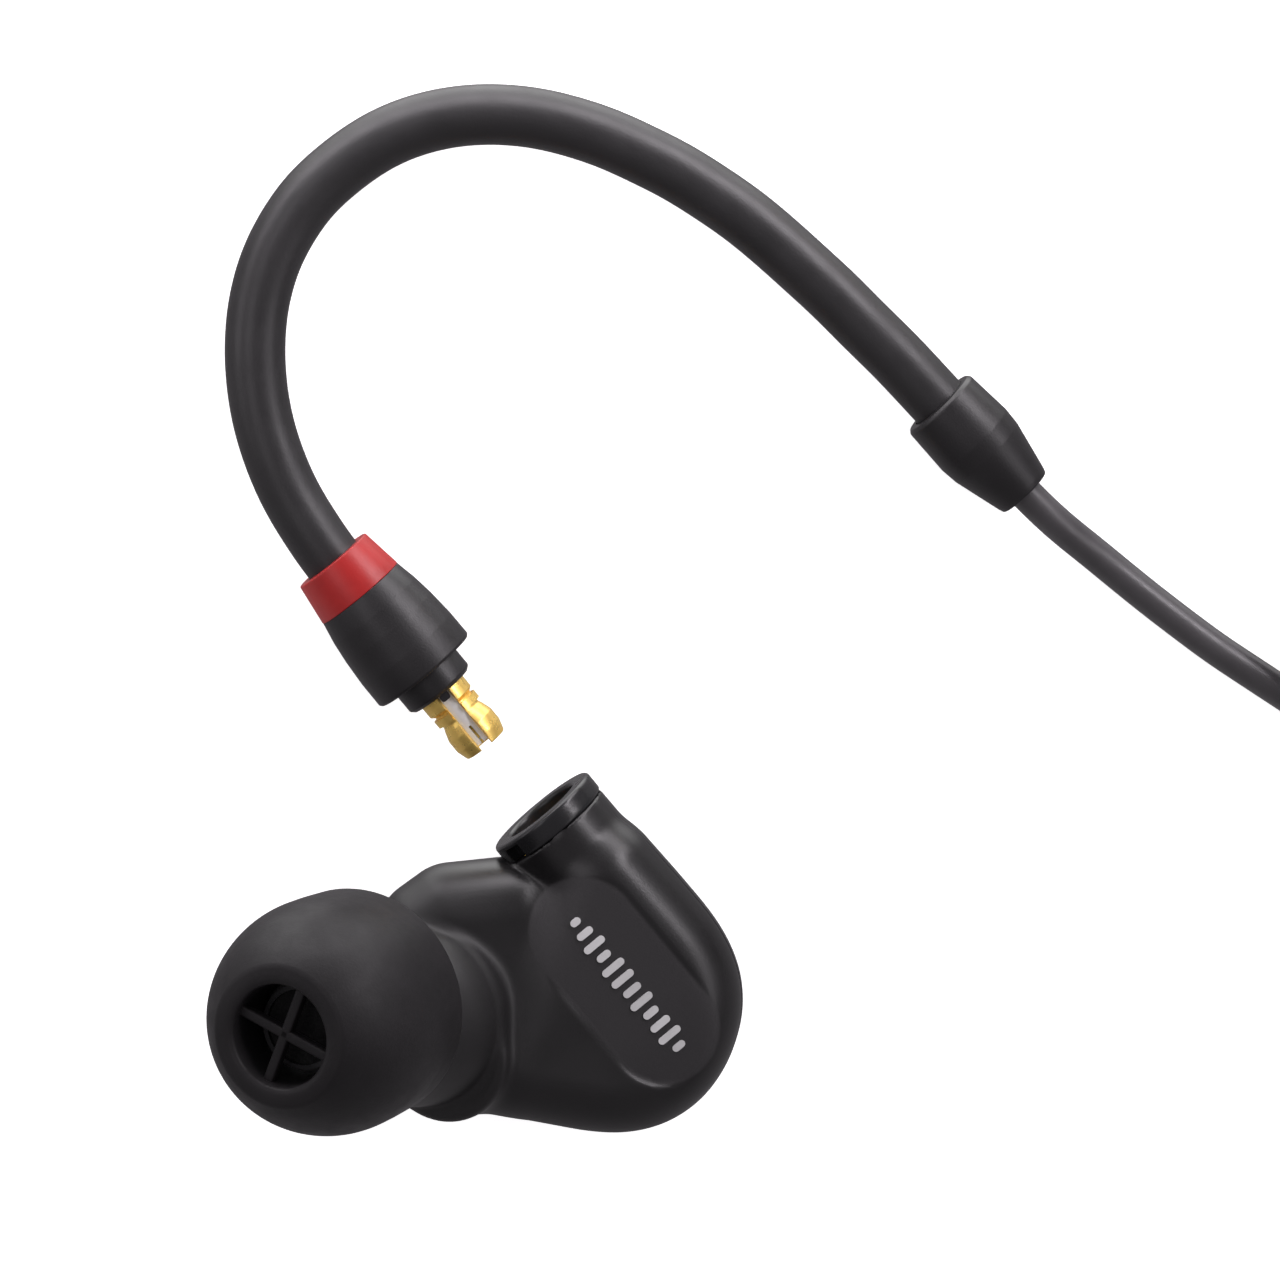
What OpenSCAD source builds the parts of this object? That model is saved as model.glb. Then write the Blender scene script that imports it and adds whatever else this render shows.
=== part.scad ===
// Right-hand in-ear monitor lying beside its detached plug-in lead.
// The origin is on the table, under the axis of the socket. +Z is up, away from the table.
// +X is the way the plug moves when it goes into the socket.

/* [Housing] */
// Height of the housing at its flat pad
housing_h = 6.2; // [6.1:0.05:6.4]
// Wall of the moulded shells
wall = 0.6; // [0.5:0.05:0.65]
// Height of the seam between the two shells
seam_h = 1.3; // [1.2:0.05:1.4]
// Radius of the socket turret at its mouth
turret_r = 2.95; // [2.9:0.05:3]
// Radius of the round driver drum under the ear tip
drum_r = 4.7; // [4.65:0.05:4.75]

/* [Ear tip] */
// Outer radius of the silicone dome
tip_r = 5.8; // [5.7:0.05:5.8]
// Length of the tip from the rim of its skirt to its mouth
tip_len = 8.2; // [8:0.1:8.4]
// Radius of the mouth
mouth_r = 2.5; // [2.5:0.05:2.6]

/* [Lead] */
// Widest radius of the plug's grip
boot_r = 2.85; // [2.8:0.01:2.85]
// Radius of the formed ear hook
hook_r = 1.5; // [1.4:0.05:1.55]
// Diameter of the thin cable
cable_d = 1.7; // [1.6:0.05:1.75]
// Gap between the plug's tip and the socket's mouth
plug_gap = 4.3; // [4:0.1:4.6]

/* [Jack] */
// Length of the jack's contacts
jack_len = 14; // [14:0.5:15]
// Radius of the jack's barrel
barrel_r = 3.2; // [3:0.1:3.4]

/* [Hidden] */
$fn = 64;

// Axis of the plug and socket, at the height where the grip rests on the table
axis_h = boot_r;
// Socket: mouth plane, depth of the wide recess, end of the barrel
mouth_x = -10;
recess_depth = 1.35;
recess_r = 2;
socket_r = 2.3;
barrel_bore_r = 1.45;
barrel_bore_len = 3.6;
socket_len = 4.35;
contact_r = 0.5;
contact_x = -6.7;
collar_len = 1.1;
collar_r = turret_r + 0.05;
table_gap = 0.03;
turret_len = 1.45;
turret_blend = 7;
reach = 20;
// Nozzle and driver drum share one direction, and the nozzle stands off the drum's centre
nozzle_turn = [0, 29, -124];
nozzle_root = [-7.6, -10.3, 3.75];
drum_centre = [-6.1, -10.9, 3.8];
drum_h = 3.7;
drum_root = 1.6;
shoulder_r = 3.6;
shoulder_h = 0.8;
shoulder_at = [-1.14, 2];
bevel_w = 1;
bevel_h = 0.7;
driver_r = 4;
driver_play = 0.1;
tip_rim = 5.8;
tip_mouth = tip_rim + tip_len;
nozzle_r = 2.1;
nozzle_end = tip_mouth - 2.3;
sound_r = 1.6;
mesh_r = 1.85;
mesh_depth = 0.4;
damper_h = 7;
// Driver: heights of its layers above the drum's centre, and their radii
frame_base = 0.2;
frame_h = 2.4;
film_h = 2.3;
yoke_r = 3.05;
yoke_wall = 0.5;
yoke_floor = 0.4;
magnet_r = 2;
magnet_h = 0.8;
plate_h = 0.4;
voice_r = 2.15;
dome_r = 4.2;
dome_sink = 3.6;
film_t = 0.12;
// Wires from the socket to the driver's board
wire_points = [
    [-3.7, -0.2, 2.8], [-3.5, -1.2, 2.5], [-3.4, -2.6, 2.2], [-3.6, -4.8, 2], [-4.2, -7, 2],
    [-4.9, -9, 2.1], [-5.6, -10.2, 2.7], [-5.9, -10.6, 3.3]
];
// Silicone tip: flat round its mouth, an elliptical dome, and a thin skirt
lip_r = 3.35;
dome_drop = 5.2;
dome_h = dome_drop / sin(acos(lip_r / tip_r));
skirt_wall = 0.5;
core_r = mouth_r + 0.7;
web_w = 0.5;
web_turn = 62;
// Plan of the housing: where its rounding spheres stand, and their radius
round_r = (housing_h - 0.1) / 2;
round_h = housing_h - round_r;
main_plan = [
    [-5.5, 0.2], [-0.4, 0.25], [1.9, -0.5], [3.1, -2.2], [3.4, -3.8], [2.4, -5.8], [-0.4, -8.2]
];
lobe_plan = [
    [-8.62, -6.85], [-8.7, -8.1], [-8, -9.2], [-1.9, -9.8], [-1.8, -5.2], [-6.9, -4.3]
];
lobe_r = round_r - 0.25;
lobe_h = round_h - 0.25;
// Pressure vent through the rear shell
vent = [3, -4];
// Plug: front of its inner collar, and the parts behind it
tip_x = mouth_x - plug_gap;
ferrule_len = 3.5;
collar_x = tip_x - ferrule_len;
plug_collar_len = 1.3;
plug_collar_r = 1.88;
boot_x = collar_x - plug_collar_len;
boot_len = 5.05;
boot_rear_r = 2.4;
ring_x = boot_x - boot_len;
ring_len = 2.15;
ring_rear_r = 2.12;
ferrule_bore_r = 1;
pin_r = 0.25;
insulator_len = 3.2;
sleeve_from = 1.95;
slit_w = 0.14;
key_top = 1.4;
key_w = 0.5;
key_len = 0.4;
snap_gap = 0.8;
// Ear hook: plan points of its centre line, from inside the ring to the sleeve
hook_points = [
    [-24.2, 0, 2.85], [-26.3, 0, 2.85], [-28.1, 0.15, 2.85], [-30.1, 0.45, 2.8],
    [-32, 1, 2.8], [-33.8, 1.75, 2.75], [-35.5, 2.75, 2.75], [-37, 3.9, 2.75],
    [-38.4, 5.3, 2.7], [-39.6, 7, 2.7], [-40.4, 8.8, 2.65], [-40.9, 10.7, 2.65],
    [-41, 12.7, 2.6], [-40.85, 14.7, 2.6], [-40.35, 16.6, 2.6], [-39.5, 18.4, 2.55],
    [-38.4, 20, 2.55], [-37, 21.5, 2.5], [-35.5, 22.7, 2.5], [-33.8, 23.8, 2.45],
    [-32, 24.7, 2.45], [-30.2, 25.5, 2.45], [-28.3, 26.15, 2.4], [-26.4, 26.7, 2.4],
    [-24.4, 27.1, 2.35], [-22.5, 27.4, 2.35], [-20.5, 27.7, 2.3], [-18.5, 27.9, 2.3],
    [-16.4, 28.15, 2.25], [-14.5, 28.3, 2.25], [-12.1, 28.45, 2.25]
];
hook_points_h = 2.85;
hook_wall = 0.55;
// Sleeve at the end of the hook
sleeve_start = [-13, 28.37, 2.25];
sleeve_turn = 5;
sleeve_len = 6.3;
sleeve_points = [[-9.8, 28.65, 2.25], [-7.05, 28.89, 2.25]];
// Free cable: from the sleeve's mouth along the table to the coil
cable_r = cable_d / 2;
cable_points = [
    [-6.9, 28.9, 2.25], [-5.2, 29.1, 2.05], [-3.6, 29.4, 1.6], [-2.1, 29.75, 1.15],
    [-0.2, 30.15, 0.9], [1.9, 30.6, 0.85], [4, 31.1, 0.85], [5.95, 31.6, 0.85],
    [7.9, 32.2, 0.85], [9.8, 32.8, 0.85], [11.7, 33.4, 0.85], [13.6, 34, 0.9],
    [15.5, 34.55, 1], [17.4, 35.1, 1.1], [19.3, 35.7, 1.15]
];
// Coil: centre, and the rows and columns of turns that fill it
coil_centre = [15.3, 48.7];
coil_lift = 0.3;
coil_inner_r = 10.2 - 2.5 * 1.7;
coil_outer_r = 10.2 + 2.5 * 1.7;
coil_h = 4 * 1.7;
// Cable from the coil to the jack
end_points = [
    [15.3, 62.3, 2.85], [12.8, 62.3, 2.85], [10.3, 62.3, 2.95], [7.8, 62.3, 3.1],
    [5.3, 62.3, 3.2], [3, 62.3, 3.2]
];
// Jack, lying on the table and pointing along -X, with the contacts of a 3.5 mm stereo plug
jack_r = 1.75;
jack_x = 3.4;
jack_y = 62.3;
relief_len = 7;
barrel_len = 14;
jack_front_x = jack_x - relief_len - barrel_len;
jack_base = 0.3;
sleeve_contact_len = 6;
band_len = 0.5;
ring_contact_len = 2.4;

// ---- helpers -------------------------------------------------------------

// Children drawn along +Z stand on the connector's axis at x, pointing along +X
module along_axis(x) {
    translate([x, 0, axis_h])
    rotate([0, 90, 0])
    children();
}

module on_nozzle() {
    translate(nozzle_root)
    rotate(nozzle_turn)
    children();
}

module on_drum() {
    translate(drum_centre)
    rotate(nozzle_turn)
    children();
}

module on_jack(x) {
    translate([x, jack_y, barrel_r])
    rotate([0, -90, 0])
    children();
}

module tube(outer, inner, len) {
    difference() {
        cylinder(r = outer, h = len);
        translate([0, 0, -1]) cylinder(r = inner, h = len + 2);
    }
}

// Soft pillow over a plan of points: spheres of radius r at height h
module pillow(plan, r, h) {
    hull()
    for (p = plan) translate([p[0], p[1], h]) sphere(r = r, $fn = 28);
}

// Slab over a plan of points, with sloping sides
module slab(plan, r_low, r_high, low, high) {
    hull()
    for (p = plan) translate([p[0], p[1], low]) cylinder(r1 = r_low, r2 = r_high, h = high - low, $fn = 32);
}

// The hook's path, with its start on the connector's axis
function at_axis(path) = [for (p = path) p + [0, 0, axis_h - hook_points_h]];

// Unit direction of a path at point i
function heading(path, i) =
    let (a = path[max(i - 1, 0)], b = path[min(i + 1, len(path) - 1)])
    (b - a) / norm(b - a);

// A ring of points around point i of a path, across its heading
function ring_points(path, i, r, sides) =
    let (d = heading(path, i))
    let (s = cross([0, 0, 1], d) / norm(cross([0, 0, 1], d)))
    let (t = cross(d, s))
    [for (k = [0 : sides - 1]) path[i] + r * (cos(360 * k / sides) * s + sin(360 * k / sides) * t)];

// Swept tube along a path, as one closed polyhedron
module sweep(path, r, sides) {
    n = len(path);
    points = [for (i = [0 : n - 1]) each ring_points(path, i, r, sides)];
    walls = [for (i = [0 : n - 2], k = [0 : sides - 1])
        let (m = (k + 1) % sides)
        each [
            [i * sides + k, (i + 1) * sides + k, (i + 1) * sides + m],
            [i * sides + k, (i + 1) * sides + m, i * sides + m]
        ]];
    first_cap = [for (k = [0 : sides - 1]) k];
    last_cap = [for (k = [sides - 1 : -1 : 0]) (n - 1) * sides + k];
    polyhedron(points, concat(walls, [first_cap, last_cap]));
}

// Swept hose along a path, open from end to end
module hose(path, r, bore, sides) {
    n = len(path);
    skin = [for (i = [0 : n - 1]) each ring_points(path, i, r, sides)];
    lining = [for (i = [0 : n - 1]) each ring_points(path, i, bore, sides)];
    base = n * sides;
    outer_walls = [for (i = [0 : n - 2], k = [0 : sides - 1])
        let (m = (k + 1) % sides)
        each [
            [i * sides + k, (i + 1) * sides + k, (i + 1) * sides + m],
            [i * sides + k, (i + 1) * sides + m, i * sides + m]
        ]];
    inner_walls = [for (i = [0 : n - 2], k = [0 : sides - 1])
        let (m = (k + 1) % sides)
        each [
            [base + i * sides + k, base + (i + 1) * sides + m, base + (i + 1) * sides + k],
            [base + i * sides + k, base + i * sides + m, base + (i + 1) * sides + m]
        ]];
    first_rim = [for (k = [0 : sides - 1])
        let (m = (k + 1) % sides)
        each [[k, m, base + m], [k, base + m, base + k]]];
    last_rim = [for (k = [0 : sides - 1])
        let (m = (k + 1) % sides, e = (n - 1) * sides)
        each [[e + k, base + e + m, e + m], [e + k, base + e + k, base + e + m]]];
    polyhedron(concat(skin, lining), concat(outer_walls, inner_walls, first_rim, last_rim));
}

// ---- earpiece ------------------------------------------------------------

// Everything lower than a hair above the table
module under_table() {
    translate([-reach, -reach, -reach + table_gap]) cube([2 * reach, 2 * reach, reach]);
}

// Shoulder that widens the drum towards the flat outer side
module drum_shoulder() {
    hull() {
        translate([0, 0, -drum_root]) cylinder(r = drum_r - 0.1, h = shoulder_h + drum_root);
        translate([shoulder_at[0], shoulder_at[1], -drum_root])
        cylinder(r = shoulder_r, h = shoulder_h + drum_root);
    }
}

// Moulded front: turret, pad and lobe in one piece with the round driver drum
module front_shell() {
    color([0.06, 0.06, 0.065])
    difference() {
        union() {
            difference() {
                union() {
                    pillow(main_plan, round_r, round_h);
                    pillow(lobe_plan, lobe_r, lobe_h);
                    along_axis(mouth_x + collar_len)
                    cylinder(r1 = turret_r, r2 = round_r, h = turret_blend);
                    on_drum() translate([0, 0, -drum_root]) cylinder(r = drum_r, h = drum_h + drum_root);
                    on_drum() drum_shoulder();
                    on_drum() translate([0, 0, drum_h])
                    cylinder(r1 = drum_r, r2 = drum_r - bevel_w, h = bevel_h);
                }
                translate([-reach, -reach, -reach + seam_h]) cube([2 * reach, 2 * reach, reach]);
                along_axis(mouth_x - 1) cylinder(r = collar_r, h = 1 + collar_len);
            }
            along_axis(mouth_x + collar_len) cylinder(r = turret_r, h = turret_len);
        }
        under_table();
        pillow(main_plan, round_r - wall, round_h);
        pillow(lobe_plan, lobe_r - wall, lobe_h);
        along_axis(mouth_x - 1) cylinder(r = socket_r, h = 1 + recess_depth + socket_len);
        on_drum() translate([0, 0, -0.2]) cylinder(r = driver_r + driver_play, h = drum_h + 0.2);
        on_nozzle() translate([0, 0, 2]) cylinder(r = nozzle_r, h = 6);
    }
}

// Flat outer cover, glued to the front shell along the seam
module rear_shell() {
    color([0.05, 0.05, 0.055])
    difference() {
        union() {
            slab(main_plan, 1.9, 2.45, 0, seam_h);
            slab(lobe_plan, 1.7, 2.2, 0, seam_h);
        }
        slab(main_plan, 1.3, 1.7, wall, seam_h + 0.5);
        slab(lobe_plan, 1.1, 1.5, wall, seam_h + 0.5);
        translate([vent[0], vent[1], -1]) cylinder(r = 0.5, h = 4);
        along_axis(mouth_x) cylinder(r = turret_r, h = collar_len + turret_len);
        along_axis(mouth_x) cylinder(r = collar_r, h = collar_len);
        along_axis(mouth_x) cylinder(r = socket_r, h = recess_depth + socket_len);
    }
}

// Separate ring around the mouth of the socket, with its key notch and a small flat below
module connector_collar() {
    color([0.08, 0.08, 0.085])
    difference() {
        along_axis(mouth_x) tube(collar_r, recess_r, collar_len);
        along_axis(mouth_x)
        rotate([0, 0, -130]) translate([2.4, -0.55, 0.3]) cube([1, 1.1, 1]);
        under_table();
    }
}

// Metal shell of the coaxial socket
module socket_barrel() {
    color([0.85, 0.68, 0.35])
    along_axis(mouth_x + recess_depth)
    difference() {
        cylinder(r = socket_r, h = socket_len);
        translate([0, 0, -1]) cylinder(r = barrel_bore_r, h = barrel_bore_len + 1);
        translate([0, 0, barrel_bore_len - 0.5]) cylinder(r = 1, h = 3);
    }
}

module socket_insulator() {
    color([0.92, 0.92, 0.9])
    along_axis(mouth_x + recess_depth + barrel_bore_len)
    tube(1, contact_r, socket_len - barrel_bore_len);
}

// Centre contact: a split tube that takes the plug's pin
module socket_contact() {
    color([0.85, 0.68, 0.35])
    along_axis(contact_x)
    difference() {
        cylinder(r = contact_r, h = 2.6);
        translate([0, 0, -1]) cylinder(r = 0.32, h = 2.4);
    }
}

// Sound tube with its flange and the bead that holds the ear tip
module nozzle() {
    color([0.12, 0.12, 0.13])
    on_nozzle()
    difference() {
        union() {
            translate([0, 0, drum_h + 0.8]) cylinder(r = nozzle_r + 0.25, h = 0.3);
            translate([0, 0, drum_h + 0.2]) cylinder(r = nozzle_r - 0.02, h = nozzle_end - drum_h - 0.2);
            translate([0, 0, nozzle_end - 1.2]) cylinder(r = nozzle_r + 0.2, h = 0.6);
        }
        cylinder(r = sound_r, h = nozzle_end - mesh_depth);
        translate([0, 0, nozzle_end - mesh_depth - 0.1]) cylinder(r = mesh_r, h = 1);
    }
}

// Fine wax guard in the end of the nozzle
module nozzle_mesh() {
    color([0.55, 0.55, 0.55])
    on_nozzle()
    translate([0, 0, nozzle_end - mesh_depth]) cylinder(r = mesh_r, h = 0.2);
}

// Foam that tunes the sound, in the sound tube
module acoustic_damper() {
    color([0.3, 0.3, 0.32])
    on_nozzle()
    translate([0, 0, damper_h]) cylinder(r = sound_r, h = 2);
}

// Ring that carries the diaphragm over the magnet
module driver_frame() {
    color([0.35, 0.35, 0.36])
    on_drum()
    translate([0, 0, frame_base])
    difference() {
        cylinder(r = driver_r, h = frame_h);
        translate([0, 0, -1]) cylinder(r = yoke_r, h = frame_h + 2);
        translate([0, 0, frame_h - 0.5]) cylinder(r = driver_r - 0.4, h = 1);
    }
}

// Iron cup
module driver_yoke() {
    color([0.6, 0.6, 0.62])
    on_drum()
    translate([0, 0, frame_base])
    difference() {
        cylinder(r = yoke_r, h = 1.7);
        translate([0, 0, yoke_floor]) cylinder(r = yoke_r - yoke_wall, h = 2);
    }
}

module driver_magnet() {
    color([0.5, 0.5, 0.52])
    on_drum()
    translate([0, 0, frame_base + yoke_floor]) cylinder(r = magnet_r, h = magnet_h);
}

module pole_plate() {
    color([0.62, 0.62, 0.64])
    on_drum()
    translate([0, 0, frame_base + yoke_floor + magnet_h]) cylinder(r = magnet_r, h = plate_h);
}

module voice_coil() {
    color([0.75, 0.4, 0.2])
    on_drum()
    translate([0, 0, 1.1]) tube(voice_r + 0.2, voice_r, film_h - 1.1);
}

// Domed film with its flat surround, glued to the frame and to the voice coil
module diaphragm() {
    color([0.8, 0.78, 0.7])
    on_drum()
    translate([0, 0, film_h])
    union() {
        tube(driver_r - 0.6, voice_r - 0.05, film_t);
        intersection() {
            translate([0, 0, -dome_sink])
            difference() {
                sphere(r = dome_r);
                sphere(r = dome_r - film_t);
            }
            cylinder(r = voice_r, h = 2);
        }
    }
}

// Small circuit board behind the driver, where the wires are soldered
module driver_board() {
    color([0.1, 0.3, 0.15])
    on_drum()
    translate([0, 0, -0.15]) cylinder(r = 1.8, h = 0.35);
}

module driver_gasket() {
    color([0.2, 0.2, 0.2])
    on_drum()
    translate([0, 0, 2.6]) tube(driver_r, 3.3, 0.5);
}

// Two fine wires from the socket to the driver's board
module signal_wires() {
    color([0.7, 0.15, 0.1])
    for (side = [-1, 1])
    sweep([for (p = wire_points) p + [side * 0.3, 0, 0]], 0.15, 6);
}

// Felt disc over the pressure vent of the rear shell
module vent_filter() {
    color([0.4, 0.4, 0.4])
    translate([vent[0], vent[1], wall]) cylinder(r = 0.9, h = 0.3);
}

// One-piece silicone tip: core sleeve, dome and thin skirt, with a cross in its mouth
module ear_tip() {
    dome_mid = tip_mouth - dome_drop;
    dome_end = acos(lip_r / tip_r);
    inner_r = tip_r - skirt_wall;
    inner_h = dome_h - skirt_wall;
    inner_end = acos(core_r / inner_r);
    outer = [for (t = [0 : dome_end / 8 : dome_end + 0.01]) [tip_r * cos(t), dome_mid + dome_h * sin(t)]];
    inner = [for (t = [inner_end : -inner_end / 8 : -0.01])
        [inner_r * cos(t), dome_mid + inner_h * sin(t)]];
    color([0.05, 0.05, 0.05])
    on_nozzle() {
        rotate_extrude($fn = 96)
        polygon(concat(
            [[mouth_r, tip_mouth], [mouth_r, tip_rim + 1], [core_r, tip_rim + 1]],
            inner,
            [[inner_r - 0.15, tip_rim], [tip_r - 0.15, tip_rim]],
            outer
        ));
        intersection() {
            translate([0, 0, tip_mouth - 1.2]) cylinder(r = mouth_r + 0.05, h = 0.6);
            for (turn = [web_turn, web_turn + 90])
            rotate([0, 0, turn])
            translate([-5, -web_w / 2, 0]) cube([10, web_w, 30]);
        }
    }
}

// ---- lead ----------------------------------------------------------------

// Split spring ring that snaps into the socket and lets the plug turn
module snap_ring() {
    color([0.9, 0.72, 0.38])
    along_axis(collar_x + 1)
    difference() {
        tube(1.28, 1.13, 0.4);
        translate([-1.9, -snap_gap / 2, -1]) cube([1, snap_gap, 3]);
    }
}

// Slotted outer contact, turned with a waist and a bead
module plug_ferrule() {
    color([0.9, 0.72, 0.38])
    along_axis(collar_x)
    difference() {
        rotate_extrude()
        polygon([
            [ferrule_bore_r, 0], [1.3, 0], [1.3, 0.7], [1.1, 0.85], [1.1, 1.6], [1.2, 1.75],
            [1.35, 2.2], [1.35, 2.9], [1.17, ferrule_len], [ferrule_bore_r, ferrule_len]
        ]);
        translate([-2, -snap_gap / 2, -1]) cube([2, snap_gap, ferrule_len + 2]);
    }
}

module plug_pin() {
    color([0.9, 0.72, 0.38])
    along_axis(collar_x)
    cylinder(r = pin_r, h = 3);
}

// Insulator round the pin, with a slit sleeve that clears the socket's contact
module plug_insulator() {
    color([0.95, 0.95, 0.93])
    along_axis(collar_x)
    difference() {
        tube(ferrule_bore_r, pin_r, insulator_len);
        translate([0, 0, sleeve_from]) cylinder(r = contact_r + 0.1, h = insulator_len);
        translate([-2, -slit_w / 2, sleeve_from + 0.2]) cube([2, slit_w, insulator_len]);
    }
}

// Inner collar that fills the mouth of the socket
module plug_collar() {
    color([0.06, 0.06, 0.06])
    along_axis(boot_x) {
        cylinder(r = plug_collar_r, h = plug_collar_len);
        translate([-key_top, -key_w / 2, plug_collar_len - 0.2])
        cube([key_top - ferrule_bore_r - 0.05, key_w, key_len + 0.2]);
    }
}

// Grip of the plug: a softly barrelled moulding
module plug_boot() {
    color([0.09, 0.09, 0.095])
    along_axis(ring_x)
    difference() {
        rotate_extrude()
        polygon([
            [0, 0], [boot_rear_r, 0], [2.62, 1.1], [2.75, 2.2], [boot_r, 3.6],
            [boot_r, boot_len - 0.12], [boot_r - 0.1, boot_len], [0, boot_len]
        ]);
        translate([0, 0, -1]) cylinder(r = cable_r + 0.02, h = boot_len + 2 - 1.2);
    }
}

// Coloured ring that marks the side
module colour_ring() {
    color([0.72, 0.18, 0.18])
    along_axis(ring_x - ring_len)
    difference() {
        cylinder(r1 = ring_rear_r, r2 = boot_rear_r, h = ring_len);
        translate([0, 0, -1]) cylinder(r = hook_r + 0.02, h = ring_len + 2);
    }
}

// Formed hose that goes over the ear
module ear_hook() {
    color([0.13, 0.13, 0.14])
    hose(at_axis(hook_points), hook_r, hook_r - hook_wall, 12);
}

// Cable inside the hook and its sleeve
module hook_cable() {
    color([0.1, 0.1, 0.1])
    sweep(concat(at_axis(hook_points), sleeve_points), cable_r, 8);
}

// Tapered sleeve where the cable leaves the hook
module hook_sleeve() {
    color([0.1, 0.1, 0.105])
    translate([sleeve_start[0], sleeve_start[1], sleeve_start[2]])
    rotate([0, 90, sleeve_turn])
    difference() {
        union() {
            cylinder(r1 = 2.1, r2 = 2.22, h = 2.6);
            translate([0, 0, 2.6]) cylinder(r1 = 2.22, r2 = 2.15, h = 0.9);
            translate([0, 0, 3.5]) cylinder(r1 = 2.15, r2 = 1.5, h = sleeve_len - 3.5);
        }
        translate([0, 0, -1]) cylinder(r = hook_r + 0.05, h = 2.1);
        translate([0, 0, 0.5]) cylinder(r = cable_r + 0.05, h = sleeve_len);
    }
}

module cable() {
    color([0.12, 0.12, 0.13])
    sweep(cable_points, cable_r, 8);
}

// Outer shape of the wound length
module cable_coil() {
    color([0.12, 0.12, 0.13])
    translate([coil_centre[0], coil_centre[1], coil_lift])
    rotate_extrude($fn = 96)
    translate([coil_inner_r, 0]) square([coil_outer_r - coil_inner_r, coil_h]);
}

module cable_end() {
    color([0.12, 0.12, 0.13])
    sweep(end_points, cable_r, 8);
}

// Strap around the bundle
module cable_tie() {
    color([0.08, 0.08, 0.08])
    translate([coil_centre[0] + coil_inner_r, coil_centre[1] - 1.5, 0])
    difference() {
        translate([-0.6, 0, 0]) cube([coil_outer_r - coil_inner_r + 0.9, 3, coil_h + 2 * coil_lift]);
        translate([-0.3, -1, coil_lift]) cube([coil_outer_r - coil_inner_r + 0.32, 5, coil_h]);
    }
}

// ---- jack ----------------------------------------------------------------

module jack_relief() {
    color([0.09, 0.09, 0.09])
    on_jack(jack_x)
    difference() {
        cylinder(r1 = 1.35, r2 = 2.3, h = relief_len);
        translate([0, 0, -1]) cylinder(r = cable_r + 0.02, h = relief_len - 1);
    }
}

module jack_barrel() {
    color([0.08, 0.08, 0.085])
    on_jack(jack_x - relief_len)
    rotate_extrude()
    polygon([
        [0, 0], [2.8, 0], [barrel_r, 0.5], [barrel_r, barrel_len - 0.6], [2.7, barrel_len],
        [0, barrel_len]
    ]);
}

module jack_sleeve() {
    color([0.9, 0.72, 0.38])
    on_jack(jack_front_x)
    union() {
        cylinder(r = 2.4, h = jack_base);
        cylinder(r = jack_r, h = jack_base + sleeve_contact_len);
    }
}

module jack_ring() {
    color([0.9, 0.72, 0.38])
    on_jack(jack_front_x - jack_base - sleeve_contact_len - band_len)
    cylinder(r = jack_r, h = ring_contact_len);
}

module jack_tip() {
    tip_start = jack_base + sleeve_contact_len + 2 * band_len + ring_contact_len;
    color([0.9, 0.72, 0.38])
    on_jack(jack_front_x - tip_start)
    rotate_extrude()
    polygon([
        [0, 0], [1.25, 0], [1.1, 0.9], [1.7, 1.7], [1.7, 2.1], [0.7, jack_len - tip_start],
        [0, jack_len - tip_start]
    ]);
}

// Two insulating bands between the contacts
module jack_insulators() {
    color([0.1, 0.1, 0.1])
    for (offset = [0, band_len + ring_contact_len])
    on_jack(jack_front_x - jack_base - sleeve_contact_len - offset)
    cylinder(r = jack_r - 0.03, h = band_len);
}

front_shell();
rear_shell();
connector_collar();
socket_barrel();
socket_insulator();
socket_contact();
nozzle();
nozzle_mesh();
acoustic_damper();
driver_frame();
driver_yoke();
driver_magnet();
pole_plate();
voice_coil();
diaphragm();
driver_board();
driver_gasket();
signal_wires();
vent_filter();
ear_tip();
snap_ring();
plug_ferrule();
plug_pin();
plug_insulator();
plug_collar();
plug_boot();
colour_ring();
ear_hook();
hook_cable();
hook_sleeve();
cable();
cable_coil();
cable_end();
cable_tie();
jack_relief();
jack_barrel();
jack_sleeve();
jack_ring();
jack_tip();
jack_insulators();
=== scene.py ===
"""Looks of the in-ear monitor and its lead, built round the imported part.

Shapes are worked out in millimetres in the row frame, and meshes are written in metres.
"""

import math

import bpy
import numpy as np
from mathutils import Matrix, Vector


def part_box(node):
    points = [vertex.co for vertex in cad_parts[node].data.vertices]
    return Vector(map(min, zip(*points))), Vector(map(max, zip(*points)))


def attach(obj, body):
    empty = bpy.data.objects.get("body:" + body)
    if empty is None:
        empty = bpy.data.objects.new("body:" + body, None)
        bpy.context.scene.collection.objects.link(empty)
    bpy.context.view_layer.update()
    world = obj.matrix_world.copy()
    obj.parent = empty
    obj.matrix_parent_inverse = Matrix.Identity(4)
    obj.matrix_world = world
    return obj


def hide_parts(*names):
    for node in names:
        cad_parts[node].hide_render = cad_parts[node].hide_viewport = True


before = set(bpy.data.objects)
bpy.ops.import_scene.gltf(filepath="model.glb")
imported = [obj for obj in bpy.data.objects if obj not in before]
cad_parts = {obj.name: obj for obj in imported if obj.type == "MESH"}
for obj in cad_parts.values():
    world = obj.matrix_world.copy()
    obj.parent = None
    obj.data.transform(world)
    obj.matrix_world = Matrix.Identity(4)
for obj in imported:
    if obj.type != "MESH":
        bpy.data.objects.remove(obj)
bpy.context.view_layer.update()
MM = 0.001


def node_box(name):
    """Lowest and highest corner of a CAD node, in mm."""
    low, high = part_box(name)
    return np.array(low) / MM, np.array(high) / MM


# ---- sizes in mm -----------------------------------------------------------

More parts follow.
